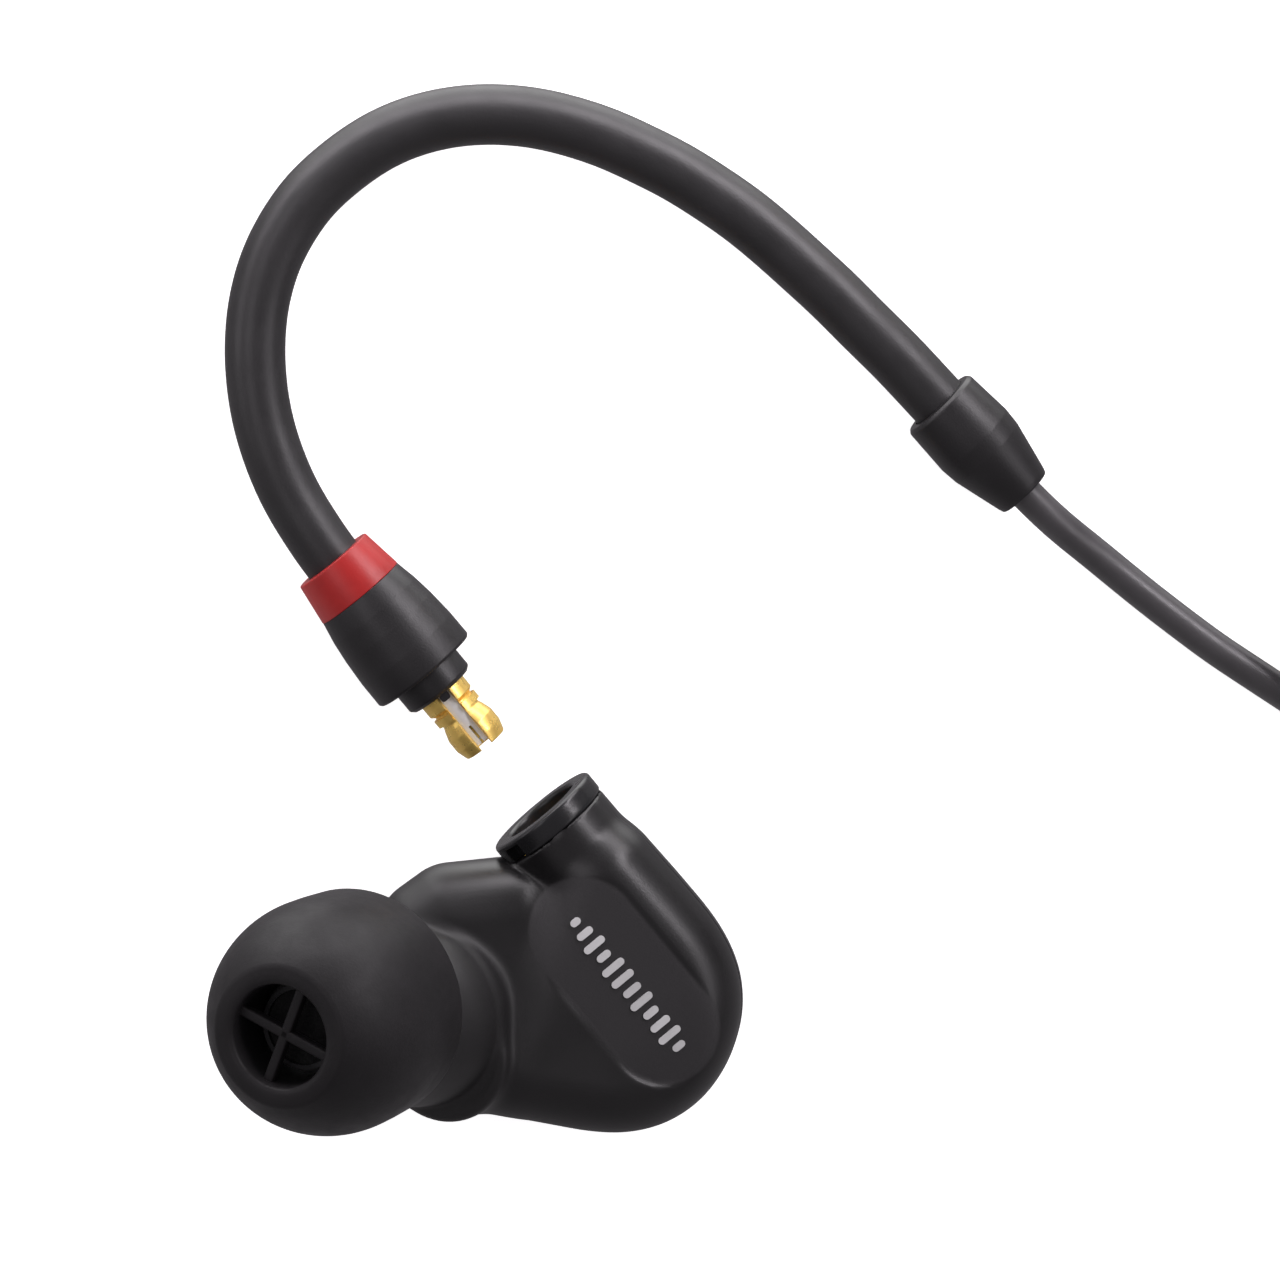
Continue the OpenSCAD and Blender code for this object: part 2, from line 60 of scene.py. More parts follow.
AXIS_H = 2.85
MOUTH_X = node_box("connector_collar")[0][0]
COLLAR_LEN = 1.1
COLLAR_R = 3.0
TABLE_GAP = 0.03
TURRET_R = 2.95
SEAM_H = 1.3
WALL = 0.6
PAD_X, PAD_Y = -1.1, -2.1
PAD_HALF, PAD_R = 3.25, 2.75
PAD_ZONE_H, PAD_ZONE_HALF = 6.1, 0.8
SATIN_FROM, SATIN_TO = -6.0, -3.5
BAR_HEIGHTS = [0.28, 0.46, 0.62, 0.40, 0.66, 0.66, 0.52, 0.66, 0.44, 0.58, 0.66, 0.36]
BAR_START, BAR_STEP, BAR_HALF_W = -5.0, 0.74, 0.19
SOCKET_R, SOCKET_END = 2.3, -4.3
SPIGOT_LEN = 1.45
GROOVE_H, GROOVE_DEPTH, GROOVE_W = 4.0, 0.07, 0.045
ROUND_R = 3.05
ROUND_H = 3.15
MAIN_POINTS = [
    (-5.5, 0.2, 0), (-2.6, 0.28, 0), (-0.4, 0.25, 0), (1.1, -0.08, 0), (2.15, -0.75, 0),
    (2.9, -1.75, 0), (3.3, -2.7, 0), (3.42, -3.6, 0), (3.25, -4.5, 0), (2.75, -5.4, 0),
    (1.9, -6.3, 0), (0.7, -7.3, 0), (-0.4, -8.2, 0)]
LOBE_PLAN = [(-8.62, -6.85), (-8.7, -8.1), (-8, -9.2), (-1.9, -9.8), (-1.8, -5.2), (-6.9, -4.3)]
DRUM_CENTRE = np.array([-6.1, -10.9, 3.8])
DRUM_R = 4.7
DRUM_H = 3.7
SHOULDER_R = 3.6
SHOULDER_H = 0.8
SHOULDER_STEP = np.array([2.2183, -0.2939, 0.5538])
NOZZLE_ROOT = np.array([-7.6, -10.3, 3.75])
TILT, TURN = math.radians(29), math.radians(-124)
NOZZLE_DIR = np.array([
    math.sin(TILT) * math.cos(TURN), math.sin(TILT) * math.sin(TURN), math.cos(TILT)])
TIP_R = 5.8
TIP_RIM = 5.8
TIP_MOUTH = 14.0
MOUTH_R = 2.5
LIP_R = 3.35
DOME_DROP = 5.2
WEB_TURN = 62
VENT = (3, -4)
COIL_CENTRE = (15.3, 48.7)
CABLE_D = 1.7
JACK_Y = 62.3
JACK_H = 3.2
HOOK_POINTS = [
    (-24.2, 0, 2.85), (-26.3, 0, 2.85), (-28.1, 0.15, 2.85), (-30.1, 0.45, 2.8),
    (-32, 1, 2.8), (-33.8, 1.75, 2.75), (-35.5, 2.75, 2.75), (-37, 3.9, 2.75),
    (-38.4, 5.3, 2.7), (-39.6, 7, 2.7), (-40.4, 8.8, 2.65), (-40.9, 10.7, 2.65),
    (-41, 12.7, 2.6), (-40.85, 14.7, 2.6), (-40.35, 16.6, 2.6), (-39.5, 18.4, 2.55),
    (-38.4, 20, 2.55), (-37, 21.5, 2.5), (-35.5, 22.7, 2.5), (-33.8, 23.8, 2.45),
    (-32, 24.7, 2.45), (-30.2, 25.5, 2.45), (-28.3, 26.15, 2.4), (-26.4, 26.7, 2.4),
    (-24.4, 27.1, 2.35), (-22.5, 27.4, 2.35), (-20.5, 27.7, 2.3), (-18.5, 27.9, 2.3),
    (-16.4, 28.15, 2.25), (-14.5, 28.3, 2.25), (-12.1, 28.45, 2.25)]
CABLE_POINTS = [
    (-6.9, 28.9, 2.25), (-5.2, 29.1, 2.05), (-3.6, 29.4, 1.6), (-2.1, 29.75, 1.15),
    (-0.2, 30.15, 0.9), (1.9, 30.6, 0.85), (4, 31.1, 0.85), (5.95, 31.6, 0.85),
    (7.9, 32.2, 0.85), (9.8, 32.8, 0.85), (11.7, 33.4, 0.85), (13.6, 34, 0.9),
    (15.5, 34.55, 1), (17.4, 35.1, 1.1)]
END_POINTS = [
    (12.8, 62.3, 2.85), (10.3, 62.3, 2.95), (7.8, 62.3, 3.1), (5.3, 62.3, 3.2), (2.5, 62.3, 3.2)]


# ---- camera and light ------------------------------------------------------

CAMERA_TILT = math.radians(7)
CAMERA_ROLL = math.radians(50.5)
VIEW_BACK = np.array([-math.sin(CAMERA_TILT), 0, math.cos(CAMERA_TILT)])
ALONG = np.array([math.cos(CAMERA_TILT), 0, math.sin(CAMERA_TILT)])
ACROSS = np.array([0, 1, 0])
VIEW_RIGHT = math.cos(CAMERA_ROLL) * ALONG + math.sin(CAMERA_ROLL) * ACROSS
VIEW_UP = -math.sin(CAMERA_ROLL) * ALONG + math.cos(CAMERA_ROLL) * ACROSS
TARGET = np.array([-13.42, 9.26, 2.9])
CAMERA_AWAY = 240
LENS = 135
LIGHT_TINT = (1.0, 0.95, 1.0)
FLOOR_HALF = 1.5
FLOOR_DROP = 0.00002
FLOOR_GLOW = 0.8
GLOW_UNDER = 0.28
GLOW_LEVEL = 0.25
GLOW_ABOVE = 0.22
TENT_FROM, TENT_TO = 0.48, 0.98
TENT_ABOVE, TENT_BELOW = 0.35, 3.4

# Each light's place in metres along the view's right, up and back, then its width, height
# and radiance.
LIGHTS = {
    "light_key": ((0.285, 0.225, 0.26), 0.065, 0.22, 14.0),
    "light_over": ((-0.17, 0.02, 0.40), 0.16, 0.30, 1.3),
    "light_hook": ((0.0, 0.064, 0.028), 0.16, 0.03, 4.2),
    "light_left": ((-0.25, 0.05, 0.12), 0.10, 0.20, 1.4),
    "light_right": ((0.25, 0.0, 0.16), 0.10, 0.20, 1.6),
}


def turned(right, up, back):
    """Rotation whose x, y and z axes are the given directions."""
    return Matrix(np.column_stack([right, up, back]).tolist()).to_quaternion()


def make_camera():
    data = bpy.data.cameras.new("camera")
    data.lens = LENS
    data.sensor_width = 36
    data.clip_start = 0.01
    data.clip_end = 10
    camera = bpy.data.objects.new("camera", data)
    camera.location = Vector((TARGET + CAMERA_AWAY * VIEW_BACK) * MM)
    camera.rotation_mode = "QUATERNION"
    camera.rotation_quaternion = turned(VIEW_RIGHT, VIEW_UP, VIEW_BACK)
    bpy.context.scene.collection.objects.link(camera)
    bpy.context.scene.camera = camera


def softbox(name, place, width, height, radiance):
    """Area light that faces the object from a place along the view's right, up and back."""
    away = place[0] * VIEW_RIGHT + place[1] * VIEW_UP + place[2] * VIEW_BACK
    distance = np.linalg.norm(away)
    away = away / distance
    side = np.cross(VIEW_UP, away)
    side = side / np.linalg.norm(side)
    data = bpy.data.lights.new(name, "AREA")
    data.shape = "RECTANGLE"
    data.size = width
    data.size_y = height
    data.energy = radiance * math.pi * width * height
    data.color = LIGHT_TINT
    light = bpy.data.objects.new(name, data)
    light.location = Vector(TARGET * MM + away * distance)
    light.rotation_mode = "QUATERNION"
    light.rotation_quaternion = turned(side, np.cross(away, side), away)
    bpy.context.scene.collection.objects.link(light)


def glow(level):
    """Colour of the surroundings at a level, with the lights' tint."""
    return (level, level * 0.95, level, 1)


def make_world():
    """Grey that is a little darker overhead, and a white tent beyond the view's upper side.

    The tent is bright below the horizon, where only the object's flanks reflect it.
    """
    world = bpy.data.worlds.new("studio")
    bpy.context.scene.world = world
    world.use_nodes = True
    nodes, links = world.node_tree.nodes, world.node_tree.links
    nodes.clear()
    coordinates = nodes.new("ShaderNodeTexCoord")
    split = nodes.new("ShaderNodeSeparateXYZ")
    ramp = nodes.new("ShaderNodeValToRGB")
    background = nodes.new("ShaderNodeBackground")
    output = nodes.new("ShaderNodeOutputWorld")
    ramp.color_ramp.elements[0].color = glow(GLOW_UNDER)
    ramp.color_ramp.elements[1].position = 0.9
    ramp.color_ramp.elements[1].color = glow(GLOW_ABOVE)
    for position, level in ((0.42, GLOW_UNDER), (0.49, GLOW_LEVEL), (0.53, GLOW_ABOVE)):
        ramp.color_ramp.elements.new(position).color = glow(level)
    height = nodes.new("ShaderNodeMapRange")
    height.inputs["From Min"].default_value = -1
    links.new(coordinates.outputs["Generated"], split.inputs[0])
    links.new(split.outputs["Z"], height.inputs["Value"])
    links.new(height.outputs["Result"], ramp.inputs["Fac"])
    upward = nodes.new("ShaderNodeVectorMath")
    upward.operation = "DOT_PRODUCT"
    upward.inputs[1].default_value = tuple(VIEW_UP)
    below = nodes.new("ShaderNodeMapRange")
    below.inputs["From Min"].default_value = 0.15
    below.inputs["From Max"].default_value = -0.1
    below.inputs["To Min"].default_value = TENT_ABOVE
    below.inputs["To Max"].default_value = TENT_BELOW
    tent = nodes.new("ShaderNodeMapRange")
    tent.interpolation_type = "SMOOTHSTEP"
    tent.inputs["From Min"].default_value = TENT_FROM
    tent.inputs["From Max"].default_value = TENT_TO
    total = nodes.new("ShaderNodeVectorMath")
    links.new(coordinates.outputs["Generated"], upward.inputs[0])
    links.new(upward.outputs["Value"], tent.inputs["Value"])
    links.new(split.outputs["Z"], below.inputs["Value"])
    links.new(below.outputs["Result"], tent.inputs["To Max"])
    links.new(ramp.outputs["Color"], total.inputs[0])
    links.new(tent.outputs["Result"], total.inputs[1])
    links.new(total.outputs[0], background.inputs["Color"])
    links.new(background.outputs[0], output.inputs["Surface"])


def make_studio():
    bpy.context.scene.view_settings.view_transform = "Standard"
    make_world()
    for name, (place, width, height, radiance) in LIGHTS.items():
        softbox(name, place, width, height, radiance)
    make_floor()


def make_floor():
    mesh = bpy.data.meshes.new("floor")
    side = FLOOR_HALF
    mesh.from_pydata([(-side, -side, 0), (side, -side, 0), (side, side, 0), (-side, side, 0)],
                     [], [(0, 1, 2, 3)])
    floor = bpy.data.objects.new("floor", mesh)
    floor.location = (TARGET[0] * MM, TARGET[1] * MM, -FLOOR_DROP)
    bpy.context.scene.collection.objects.link(floor)
    white = bpy.data.materials.new("floor_white")
    white.use_nodes = True
    shader = white.node_tree.nodes["Principled BSDF"]
    shader.inputs["Base Color"].default_value = (0.9, 0.9, 0.9, 1)
    shader.inputs["Roughness"].default_value = 0.9
    shader.inputs["Emission Color"].default_value = (1, 1, 1, 1)
    shader.inputs["Emission Strength"].default_value = FLOOR_GLOW
    mesh.materials.append(white)
    floor.visible_glossy = False


# ---- materials -------------------------------------------------------------


class Finish:
    """A principled material with the nodes that its look needs."""

    def __init__(self, name, colour, roughness, metallic=0.0, specular=0.5):
        self.material = bpy.data.materials.new(name)
        self.material.use_nodes = True
        self.nodes = self.material.node_tree.nodes
        self.links = self.material.node_tree.links
        self.shader = self.nodes["Principled BSDF"]
        self.set("Base Color", (*colour, 1))
        self.set("Roughness", roughness)
        self.set("Metallic", metallic)
        self.set("Specular IOR Level", specular)
        self.colour = colour
        self.roughness = roughness
        self.place = self.nodes.new("ShaderNodeTexCoord").outputs["Object"]
        self.height = None

    def set(self, socket, value):
        self.shader.inputs[socket].default_value = value

    def noise(self, scale, detail, stretch=None):
        """Noise with features of about 1/scale metres."""
        node = self.nodes.new("ShaderNodeTexNoise")
        node.inputs["Scale"].default_value = scale
        node.inputs["Detail"].default_value = detail
        node.inputs["Roughness"].default_value = 0.55
        source = self.place
        if stretch:
            mapping = self.nodes.new("ShaderNodeMapping")
            mapping.inputs["Scale"].default_value = stretch
            self.links.new(source, mapping.inputs["Vector"])
            source = mapping.outputs["Vector"]
        self.links.new(source, node.inputs["Vector"])
        return node.outputs["Fac"]

    def spread(self, value, low, high, start=0.3, end=0.7):
        """Maps value from start..end to low..high."""
        node = self.nodes.new("ShaderNodeMapRange")
        node.inputs["From Min"].default_value = start
        node.inputs["From Max"].default_value = end
        node.inputs["To Min"].default_value = low
        node.inputs["To Max"].default_value = high
        self.links.new(value, node.inputs["Value"])
        return node.outputs["Result"]

    def mottle(self, value, amount):
        """Colour varies with value by amount either way."""
        node = self.nodes.new("ShaderNodeMix")
        node.data_type = "RGBA"
        node.inputs[6].default_value = (*[c * (1 - amount) for c in self.colour], 1)
        node.inputs[7].default_value = (*[min(1, c * (1 + amount)) for c in self.colour], 1)
        self.links.new(self.spread(value, 0, 1), node.inputs[0])
        self.links.new(node.outputs[2], self.shader.inputs["Base Color"])

    def gloss_spots(self, value, amount):
        """Roughness varies with value by amount either way."""
        spotted = self.spread(value, self.roughness - amount, self.roughness + amount)
        self.links.new(spotted, self.shader.inputs["Roughness"])

    def bump(self, value, depth, strength=1.0):
        """Adds relief of a depth in metres on top of what is there."""
        node = self.nodes.new("ShaderNodeBump")
        node.inputs["Distance"].default_value = depth
        node.inputs["Strength"].default_value = strength
        self.links.new(value, node.inputs["Height"])
        if self.height is not None:
            self.links.new(self.height, node.inputs["Normal"])
        self.height = node.outputs["Normal"]
        self.links.new(self.height, self.shader.inputs["Normal"])


def moulded(name, colour, roughness, specular=0.5):
    """Moulded plastic with a fine spark-eroded grain and faint handling marks."""
    look = Finish(name, colour, roughness, specular=specular)
    look.mottle(look.noise(420, 4), 0.14)
    look.gloss_spots(look.noise(260, 5), 0.045)
    look.bump(look.noise(9000, 2), 0.000006)
    return look.material


def housing_finish():
    """Satin shell, rougher on the lobe and glossier at the turret, with a fine matt pad."""
    look = Finish("housing_black", (0.0095, 0.0089, 0.0095), 0.33, specular=0.52)
    look.mottle(look.noise(380, 4), 0.15)
    nodes, links = look.nodes, look.links
    shift = nodes.new("ShaderNodeVectorMath")
    shift.operation = "SUBTRACT"
    shift.inputs[1].default_value = (PAD_X * MM, PAD_Y * MM, PAD_ZONE_H * MM)
    links.new(look.place, shift.inputs[0])
    fold = nodes.new("ShaderNodeVectorMath")
    fold.operation = "ABSOLUTE"
    links.new(shift.outputs[0], fold.inputs[0])
    less = nodes.new("ShaderNodeVectorMath")
    less.operation = "SUBTRACT"
    less.inputs[1].default_value = (PAD_HALF * MM, 0, PAD_ZONE_HALF * MM)
    links.new(fold.outputs[0], less.inputs[0])
    outside = nodes.new("ShaderNodeVectorMath")
    outside.operation = "MAXIMUM"
    outside.inputs[1].default_value = (0, 0, 0)
    links.new(less.outputs[0], outside.inputs[0])
    length = nodes.new("ShaderNodeVectorMath")
    length.operation = "LENGTH"
    links.new(outside.outputs[0], length.inputs[0])
    on_pad = look.spread(length.outputs["Value"], 1, 0, (PAD_R - 0.12) * MM, (PAD_R + 0.05) * MM)
    spotted = look.spread(look.noise(260, 5), 0.30, 0.36)
    along = nodes.new("ShaderNodeSeparateXYZ")
    links.new(look.place, along.inputs[0])
    satin = nodes.new("ShaderNodeMath")
    links.new(spotted, satin.inputs[0])
    lobe = look.spread(along.outputs["Y"], 0.16, 0, SATIN_FROM * MM, SATIN_TO * MM)
    links.new(lobe, satin.inputs[1])
    matt = look.spread(look.noise(5200, 2), 0.52, 0.60)
    blend = nodes.new("ShaderNodeMix")
    links.new(on_pad, blend.inputs[0])
    links.new(satin.outputs[0], blend.inputs[2])
    links.new(matt, blend.inputs[3])
    links.new(blend.outputs[0], look.shader.inputs["Roughness"])
    tone = nodes.new("ShaderNodeMix")
    tone.data_type = "RGBA"
    tone.inputs[7].default_value = (0.0235, 0.022, 0.0235, 1)
    links.new(on_pad, tone.inputs[0])
    links.new(look.shader.inputs["Base Color"].links[0].from_socket, tone.inputs[6])
    links.new(tone.outputs[2], look.shader.inputs["Base Color"])
    look.bump(look.noise(9000, 2), 0.000004)
    return look.material


def silicone_finish():
    """Soft matt rubber."""
    look = Finish("silicone", (0.0170, 0.0159, 0.0170), 0.47, specular=0.19)
    look.mottle(look.noise(300, 4), 0.16)
    look.gloss_spots(look.noise(900, 4), 0.06)
    look.bump(look.noise(6000, 3), 0.000007)
    return look.material


def hose_finish():
    """Formed hose with fine draw marks."""
    look = Finish("hook_black", (0.0165, 0.0154, 0.0165), 0.43, specular=0.62)
    look.mottle(look.noise(260, 4), 0.18)
    look.gloss_spots(look.noise(700, 4), 0.05)
    look.bump(look.noise(5200, 3), 0.000008)
    return look.material


def cable_finish():
    look = Finish("cable_black", (0.050, 0.0468, 0.050), 0.40, specular=0.9)
    look.mottle(look.noise(500, 3), 0.15)
    look.gloss_spots(look.noise(900, 4), 0.05)
    look.bump(look.noise(7000, 2), 0.000006)
    return look.material


def gold_finish():
    """Plated contact with turning marks round its axis."""
    look = Finish("gold", (1.0, 0.66, 0.17), 0.30, metallic=0.62)
    look.mottle(look.noise(1500, 3), 0.08)
    look.gloss_spots(look.noise(2500, 3), 0.05)
    look.bump(look.noise(900, 3, stretch=(40, 1, 1)), 0.0000008)
    return look.material


def metal_finish(name, colour, roughness):
    look = Finish(name, colour, roughness, metallic=1.0)
    look.mottle(look.noise(1500, 3), 0.1)
    look.gloss_spots(look.noise(2500, 3), 0.06)
    look.bump(look.noise(4000, 3), 0.000003)
    return look.material


def foam_finish(name="foam", colour=(0.06, 0.06, 0.065)):
    look = Finish(name, colour, 0.9, specular=0.2)
    look.mottle(look.noise(5000, 3), 0.35)
    look.bump(look.noise(6500, 3), 0.00005)
    return look.material


def strap_finish():
    """Woven strap: two crossed ribs."""
    look = Finish("strap_black", (0.014, 0.014, 0.015), 0.85, specular=0.25)
    look.mottle(look.noise(2500, 3), 0.3)
    for direction in ("Y", "Z"):
        wave = look.nodes.new("ShaderNodeTexWave")
        wave.bands_direction = direction
        wave.inputs["Scale"].default_value = 800
        wave.inputs["Distortion"].default_value = 0.6
        look.links.new(look.place, wave.inputs["Vector"])
        look.bump(wave.outputs["Fac"], 0.00004, 0.6)
    look.set("Sheen Weight", 0.15)
    return look.material


LOOKS = {
    "housing_black": housing_finish(),
    "cover_black": moulded("cover_black", (0.011, 0.011, 0.012), 0.42),
    "collar_black": moulded("collar_black", (0.012, 0.012, 0.013), 0.26),
    "gold": gold_finish(),
    "insulator_white": moulded("insulator_white", (0.82, 0.81, 0.78), 0.35),
    "mesh_dark": foam_finish("mesh_dark", (0.012, 0.012, 0.012)),
    "steel": metal_finish("steel", (0.55, 0.55, 0.57), 0.3),
    "frame_grey": moulded("frame_grey", (0.08, 0.08, 0.085), 0.5),
    "foam": foam_finish(),
    "copper": metal_finish("copper", (0.75, 0.35, 0.18), 0.3),
    "film": moulded("film", (0.62, 0.57, 0.42), 0.3),
    "board_green": moulded("board_green", (0.01, 0.09, 0.035), 0.4),
    "silicone": silicone_finish(),
    "grip_black": moulded("grip_black", (0.0130, 0.0120, 0.0130), 0.40),
    "ring_red": moulded("ring_red", (0.38, 0.016, 0.015), 0.38, specular=0.42),
    "hook_black": hose_finish(),
    "cable_black": cable_finish(),
    "strap_black": strap_finish(),
    "print_grey": moulded("print_grey", (0.62, 0.62, 0.62), 0.6),
}


# ---- meshes ----------------------------------------------------------------


def piece(name, points, faces, look, body, replaced=(), sharp=38):
    """A mesh object from points in mm, riding on a CAD body."""
    mesh = bpy.data.meshes.new(name)
    corners = (np.asarray(points, float) * MM).tolist()
    mesh.from_pydata(corners, [], [list(map(int, f)) for f in faces])
    mesh.validate()
    mesh.shade_smooth()
    mesh.set_sharp_from_angle(angle=math.radians(sharp))
    mesh.materials.append(LOOKS[look])
    obj = bpy.data.objects.new(name, mesh)
    bpy.context.scene.collection.objects.link(obj)
    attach(obj, body)
    if replaced:
        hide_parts(*replaced)
    return obj


def rounded(profile, steps=4):
    """Rounds the corners of a closed profile of (r, h, radius) points with short arcs."""
    count = len(profile)
    result = []
    for i, corner in enumerate(profile):
        p = np.array(corner[:2], float)
        radius = corner[2] if len(corner) > 2 else 0
        if radius <= 0:
            result.append(p)
            continue
        a = np.array(profile[i - 1][:2], float)
        b = np.array(profile[(i + 1) % count][:2], float)
        to_a, to_b = a - p, b - p
        la, lb = np.linalg.norm(to_a), np.linalg.norm(to_b)
        to_a, to_b = to_a / la, to_b / lb
        half = math.acos(max(-1, min(1, float(to_a @ to_b)))) / 2
        cut = min(radius / max(math.tan(half), 1e-3), 0.48 * la, 0.48 * lb)
        start, end = p + to_a * cut, p + to_b * cut
        for s in range(steps + 1):
            t = s / steps
            result.append((1 - t) ** 2 * start + 2 * t * (1 - t) * p + t * t * end)
    return result


def revolved(profile, sides=96, first=0.0, last=360.0):
    """Closed profile of (r, h) turned about the h axis, as points (x, y, h) and faces.

    Points on the axis are shared. A part turn gets a flat cap at each end.
    """
    full = abs(last - first) > 359.9
    columns = sides if full else sides + 1
    angles = np.radians(first + (last - first) * np.arange(columns) / sides)
    points, rows = [], []
    for r, h in profile:
        if r < 1e-6:
            rows.append([len(points)] * columns)
            points.append((0, 0, h))
        else:
            rows.append(list(range(len(points), len(points) + columns)))
            points.extend((r * math.cos(a), r * math.sin(a), h) for a in angles)
    faces = []
    count = len(profile)
    for i in range(count):
        low, high = rows[i], rows[(i + 1) % count]
        for k in range(sides):
            m = (k + 1) % columns
            quad = [low[k], low[m], high[m], high[k]]
            quad = [q for n, q in enumerate(quad) if q != quad[n - 1]]
            if len(quad) > 2:
                faces.append(quad)
    if not full:
        faces.append([row[0] for row in rows][::-1])
        faces.append([row[-1] for row in rows])
    return np.array(points, float), faces


def placed(points, origin, direction, across=(0, 0, 1)):
    """Moves points from a local frame, h along direction, into the row frame."""
    z = np.array(direction, float)
    z = z / np.linalg.norm(z)
    x = np.array(across, float)
    x = x - (x @ z) * z
    x = x / np.linalg.norm(x)
    y = np.cross(z, x)
    return np.array(origin, float) + points @ np.array([x, y, z])


def joined(parts):
    """Several (points, faces) as one."""
    points, faces, base = [], [], 0
    for some_points, some_faces in parts:
        points.append(np.asarray(some_points, float))
        faces.extend([[i + base for i in f] for f in some_faces])
        base += len(some_points)
    return np.vstack(points), faces


def spline(points, per_span):
    """Catmull-Rom curve through the points."""
    p = [np.array(q, float) for q in points]
    p = [2 * p[0] - p[1], *p, 2 * p[-1] - p[-2]]
    out = []
    for i in range(1, len(p) - 2):
        a, b, c, d = p[i - 1:i + 3]
        for s in range(per_span):
            t = s / per_span
            out.append(0.5 * (2 * b + (c - a) * t + (2 * a - 5 * b + 4 * c - d) * t * t
                              + (3 * b - a - 3 * c + d) * t ** 3))
    out.append(p[-2])
    return np.array(out)


def smoothed(path, rounds):
    """Evens out small kinks and keeps both ends."""
    path = path.copy()
    for _ in range(rounds):
        path[1:-1] = (path[:-2] + 2 * path[1:-1] + path[2:]) / 4
    return path


def hose(path, radius, bore):
    """Tube with a wall, open from end to end, with softly rounded rims."""
    sides = 40
    tangent = np.gradient(path, axis=0)
    tangent /= np.linalg.norm(tangent, axis=1)[:, None]
    side = np.cross([0, 0, 1], tangent)
    side /= np.linalg.norm(side, axis=1)[:, None]
    up = np.cross(tangent, side)
    angles = 2 * math.pi * np.arange(sides) / sides
    points, rings = [], []

    def ring(i, r):
        rings.append(len(points))
        points.extend(path[i] + r * (math.cos(a) * side[i] + math.sin(a) * up[i]) for a in angles)

    ring(0, radius - 0.12)
    for i in range(len(path)):
        ring(i, radius if i else radius - 0.02)
    ring(len(path) - 1, radius - 0.12)
    for i in range(len(path) - 1, -1, -1):
        ring(i, bore)
    faces = []
    for n, a in enumerate(rings):
        b = rings[(n + 1) % len(rings)]
        for k in range(sides):
            m = (k + 1) % sides
            faces.append([a + k, b + k, b + m, a + m])
    return np.array(points), faces


# ---- distance fields -------------------------------------------------------

MAIN_PLAN = [(p[0], p[1]) for p in spline(MAIN_POINTS, 8)]
DRUM_BASE = -1.6
DRUM_TOP = 4.4
BEVEL_LEN = 2.2
BEVEL_SLOPE = 0.36
TURRET_SPREAD = 7
TURRET_SINK = 0.9
TURRET_SINKS = (-6.5, -2.2)
TURRET_END = -1.9
PAD_H = 6.2
PAD_SINK = 0.34
NOZZLE_HOLE_R = 2.1
SPIGOT_START = MOUTH_X + COLLAR_LEN
NEWTON_STEPS = 4


def polygon(x, y, plan):
    """Signed distance to a flat polygon."""
    best = np.full(x.shape, 1e9)
    sign = np.ones(x.shape)
    for i, (ax, ay) in enumerate(plan):
        bx, by = plan[i - 1]
        ex, ey = bx - ax, by - ay
        wx, wy = x - ax, y - ay
        t = np.clip((wx * ex + wy * ey) / (ex * ex + ey * ey), 0, 1)
        best = np.minimum(best, (wx - ex * t) ** 2 + (wy - ey * t) ** 2)
        turn = ex * wy - ey * wx
        above, below = y >= ay, y < by
        sign = np.where((above & below & (turn > 0)) | (~above & ~below & (turn <= 0)), -sign, sign)
    return sign * np.sqrt(best)


def soft_min(a, b, k):
    h = np.maximum(k - np.abs(a - b), 0) / k
    return np.minimum(a, b) - h * h * k / 4


def soft_max(a, b, k):
    return -soft_min(-a, -b, k)


def smooth_step(value, low, high):
    """0 below low and 1 above high, with an easy rise between."""
    t = np.clip((value - low) / (high - low), 0, 1)
    return t * t * (3 - 2 * t)


def pillow(x, y, z, plan, r, h):
    """Flat plan at height h, with a round edge of radius r."""
    if x.ndim == 3:
        flat = polygon(x[:, :, :1], y[:, :, :1], plan)
    else:
        flat = polygon(x, y, plan)
    return np.hypot(np.maximum(flat, 0), z - h) - r


def about(x, y, z, origin, direction):
    """Distance along and from an axis."""
    px, py, pz = x - origin[0], y - origin[1], z - origin[2]
    along = px * direction[0] + py * direction[1] + pz * direction[2]
    away = np.sqrt(np.maximum(px * px + py * py + pz * pz - along * along, 0))
    return along, away


def drum(x, y, z):
    """Round driver drum with a bevelled top."""
    h, r = about(x, y, z, DRUM_CENTRE, NOZZLE_DIR)
    bevel = ((r - DRUM_R) + (h - DRUM_H + BEVEL_LEN) * BEVEL_SLOPE) / 1.06
    side = soft_max(r - DRUM_R, DRUM_BASE - h, 0.3)
    return soft_max(side, soft_max(bevel, h - DRUM_TOP, 0.3), 0.4)


def shoulder(x, y, z):
    """Lower, egg-shaped step that widens the drum towards the flat outer side."""
    h, r = about(x, y, z, DRUM_CENTRE, NOZZLE_DIR)
    reach = np.linalg.norm(SHOULDER_STEP)
    out = SHOULDER_STEP / reach
    along = ((x - DRUM_CENTRE[0]) * out[0] + (y - DRUM_CENTRE[1]) * out[1]
             + (z - DRUM_CENTRE[2]) * out[2])
    side = np.sqrt(np.maximum(r * r - along * along, 0))
    lean = (DRUM_R - SHOULDER_R) / reach
    rise = math.sqrt(1 - lean * lean)
    part = along * rise - side * lean
    flank = side * rise + along * lean - DRUM_R
    end = np.hypot(side, along - reach) - SHOULDER_R
    egg = np.where(part < 0, r - DRUM_R, np.where(part > rise * reach, end, flank))
    return soft_max(egg, np.maximum(h - SHOULDER_H, DRUM_BASE - h), 0.5)


